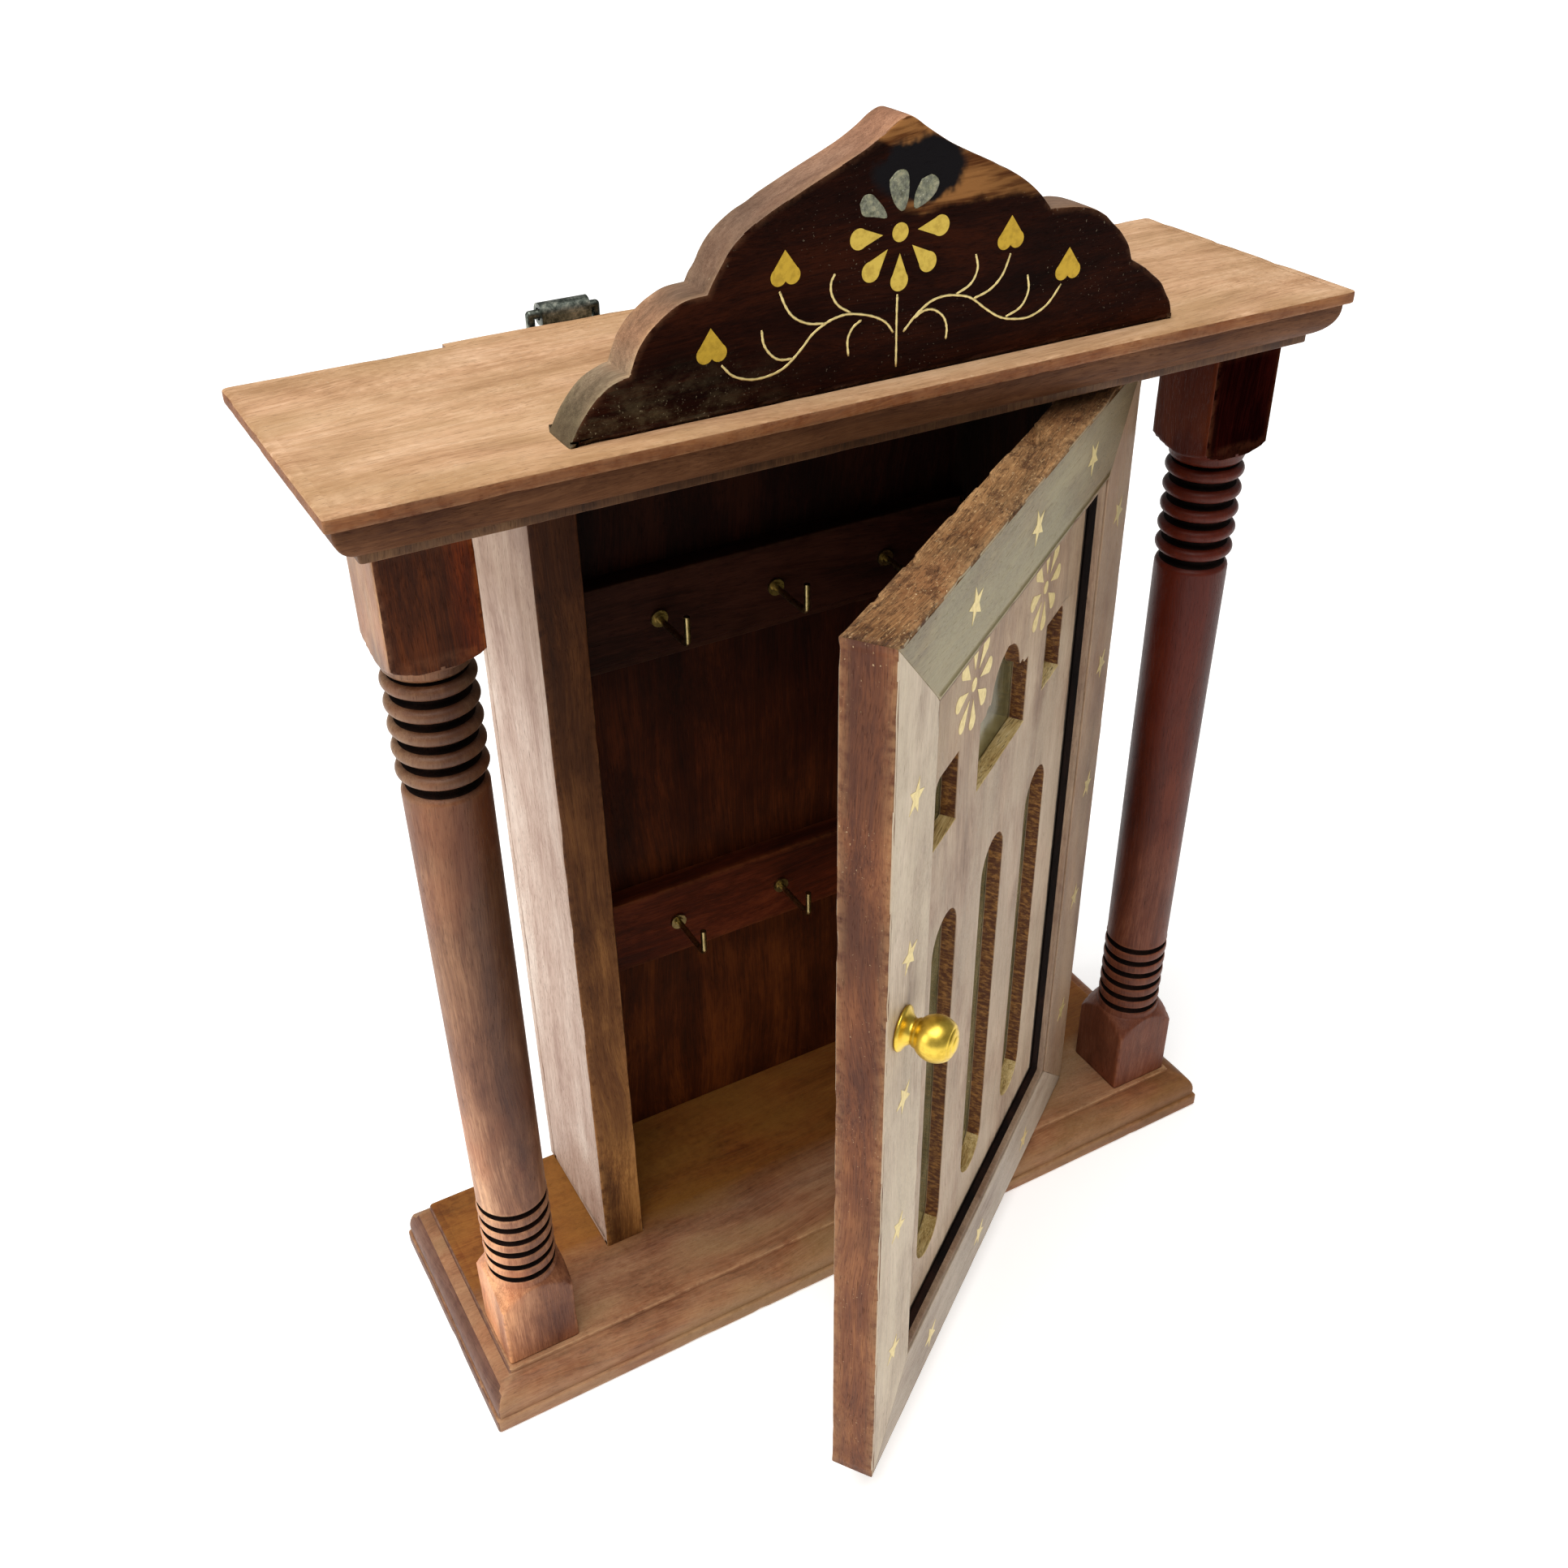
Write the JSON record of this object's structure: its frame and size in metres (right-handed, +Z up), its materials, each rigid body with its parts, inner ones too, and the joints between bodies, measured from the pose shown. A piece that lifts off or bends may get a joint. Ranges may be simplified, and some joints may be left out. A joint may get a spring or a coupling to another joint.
{
  "type": "key cabinet",
  "caption": "Small wooden key cabinet shaped like a columned shrine, with a hinged pierced door, hook rails inside and a scalloped inlaid crest.",
  "frame": {"origin": "centre of the base board's underside", "axes": "+Z up; +X to the right seen from the front, towards the door's hinges; the front faces -Y and the wall side +Y"},
  "size_m": [0.255, 0.1606, 0.3314],
  "materials": {
    "sheesham": "oiled rosewood, worn satin",
    "sheesham_sunlit": "faded rosewood with open grain",
    "sheesham_dark": "dark stained rosewood, satin",
    "brass_inlay": "filed flush sheet inlay",
    "worn_inlay": "tarnished and filled inlay",
    "brass_wire": "dull plated wire and sheet",
    "brass_knob": "polished turned brass",
    "black_steel": "blackened, rubbed steel",
    "glass": "plain window glass, dusty"
  },
  "bodies": {
    "cabinet": {"base_board": "sheesham", "cornice_board": "sheesham_sunlit", "cornice_fillet": "sheesham", "crest_board": "sheesham_dark", "crest_flower": "brass_inlay", "crest_worn_petals": "worn_inlay", "crest_hearts": "brass_inlay", "crest_vines": "brass_inlay", "left_side_panel": "sheesham_sunlit", "right_side_panel": "sheesham", "back_panel": "sheesham_dark", "back_nails": "black_steel", "upper_hook_rail": "sheesham_dark", "lower_hook_rail": "sheesham_dark", "upper_key_hooks": "brass_wire", "lower_key_hooks": "brass_wire", "left_column": "sheesham", "right_column": "sheesham", "base_screws": "black_steel", "frame_hinge_leaves": "brass_wire", "frame_hinge_screws": "brass_wire", "hinge_pins": "black_steel", "left_hanger_strap": "black_steel", "right_hanger_strap": "black_steel", "hanger_screws": "black_steel"},
    "door": {"free_stile": "sheesham", "hinge_stile": "sheesham", "top_rail": "sheesham", "bottom_rail": "sheesham", "door_moulding": "sheesham", "jali_panel": "sheesham", "door_glass": "glass", "glass_retainers": "sheesham", "retainer_pins": "black_steel", "frame_stars": "brass_inlay", "panel_flowers": "brass_inlay", "door_knob": "brass_knob", "knob_screw": "black_steel", "door_hinge_leaves": "brass_wire", "door_hinge_screws": "brass_wire"},
    "left_ring": {"left_hanger_ring": "black_steel"},
    "right_ring": {"right_hanger_ring": "black_steel"}
  },
  "joints": [
    {"name": "door_hinge", "type": "hinge", "parent": "cabinet", "child": "door", "pos_m": [0.0787, -0.006, 0.139], "axis": [0, 0, 1], "range_deg": [-35, 62]},
    {"name": "left_ring_hinge", "type": "hinge", "parent": "cabinet", "child": "left_ring", "pos_m": [-0.0458, 0.0417, 0.28], "axis": [1, 0, 0], "range_deg": [-1, 182]},
    {"name": "right_ring_hinge", "type": "hinge", "parent": "cabinet", "child": "right_ring", "pos_m": [0.0458, 0.0417, 0.28], "axis": [1, 0, 0], "range_deg": [-1, 182]}
  ]
}
